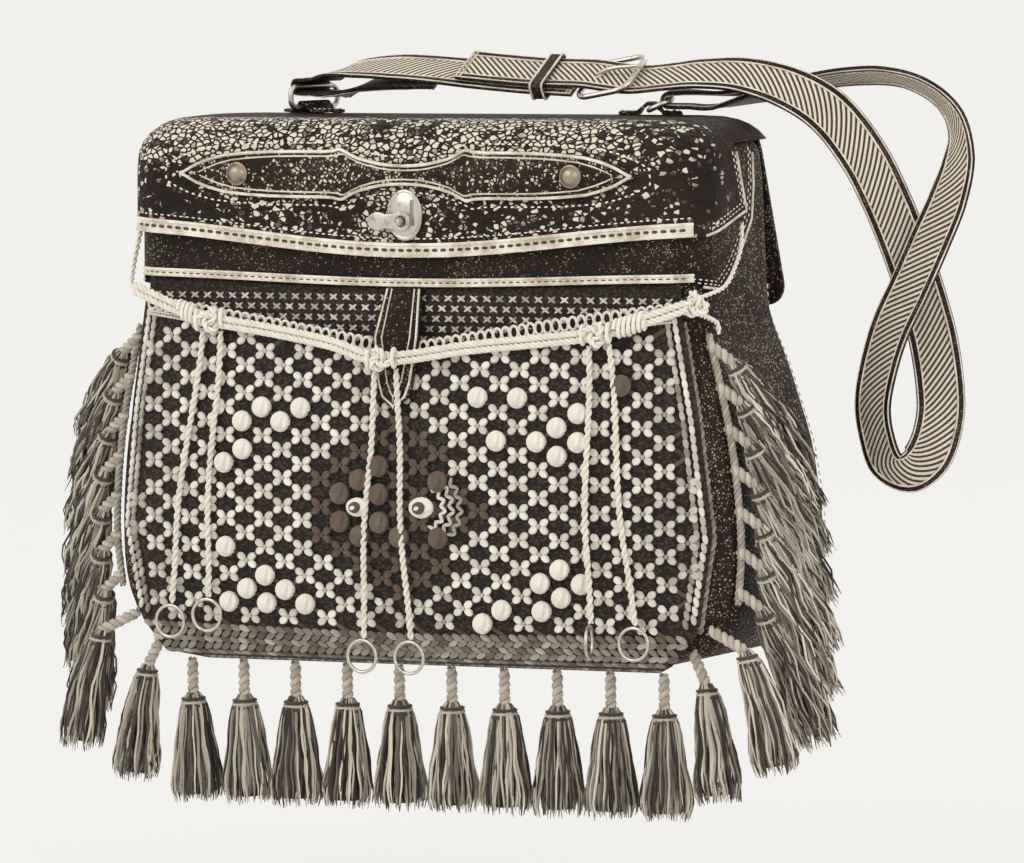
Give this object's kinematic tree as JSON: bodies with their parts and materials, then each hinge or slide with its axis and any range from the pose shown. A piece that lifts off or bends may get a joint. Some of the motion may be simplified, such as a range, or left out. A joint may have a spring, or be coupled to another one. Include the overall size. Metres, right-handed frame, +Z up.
{
  "type": "hunting pouch",
  "caption": "Leather hunting pouch with lids, a netted game pocket, tassels, hanging cords with rings and a shoulder strap.",
  "frame": {"origin": "hang point, midway between the two strap rings at the top back edge", "axes": "+X along the width towards the strap's loop, -Y out of the front, +Z up"},
  "size_m": [0.4962, 0.1489, 0.3804],
  "materials": {
    "dark_leather": "grained, worn",
    "edge_leather": "smooth, stitched",
    "net_yarn": "knotted yarn",
    "cord_yarn": "twisted cord",
    "tassel_yarn": "loose strands",
    "webbing": "twill webbing",
    "bright_metal": "worn bright"
  },
  "bodies": {
    "pouch": {"back_flap": "dark_leather", "back_flap_binding": "edge_leather", "body_back": "dark_leather", "body_bottom": "dark_leather", "body_front": "dark_leather", "body_side_left": "dark_leather", "body_side_right": "dark_leather", "buckle_frame": "bright_metal", "button_left": "bright_metal", "button_right": "bright_metal", "clasp_plate": "bright_metal", "closing_tab": "dark_leather", "cord_1": "cord_yarn", "cord_2": "cord_yarn", "cord_3": "cord_yarn", "cord_4": "cord_yarn", "cord_5": "cord_yarn", "cord_6": "cord_yarn", "d_ring_left": "bright_metal", "d_ring_right": "bright_metal", "drawcord": "cord_yarn", "flap": "dark_leather", "flap_binding": "edge_leather", "fringe_left": "tassel_yarn", "fringe_right": "tassel_yarn", "grip_ornament": "dark_leather", "lug_left": "dark_leather", "lug_right": "dark_leather", "net_back": "net_yarn", "net_front": "net_yarn", "ring_1": "bright_metal", "ring_2": "bright_metal", "ring_3": "bright_metal", "ring_4": "bright_metal", "ring_5": "bright_metal", "ring_6": "bright_metal", "strap_keeper": "dark_leather", "strap_long": "webbing", "strap_short": "webbing", "tassel_01": "tassel_yarn", "tassel_02": "tassel_yarn", "tassel_03": "tassel_yarn", "tassel_04": "tassel_yarn", "tassel_05": "tassel_yarn", "tassel_06": "tassel_yarn", "tassel_07": "tassel_yarn", "tassel_08": "tassel_yarn", "tassel_09": "tassel_yarn", "tassel_10": "tassel_yarn", "tassel_11": "tassel_yarn", "tassel_12": "tassel_yarn", "tassel_13": "tassel_yarn", "tassel_14": "tassel_yarn", "under_flap": "dark_leather", "under_flap_binding": "edge_leather"},
    "clasp": {"clasp_lever": "bright_metal"}
  },
  "joints": [
    {"name": "clasp_turn", "type": "hinge", "parent": "pouch", "child": "clasp", "pos_m": [0, -0.11, -0.05032], "axis": [0, 1, 0], "range_deg": [0, 90]}
  ]
}
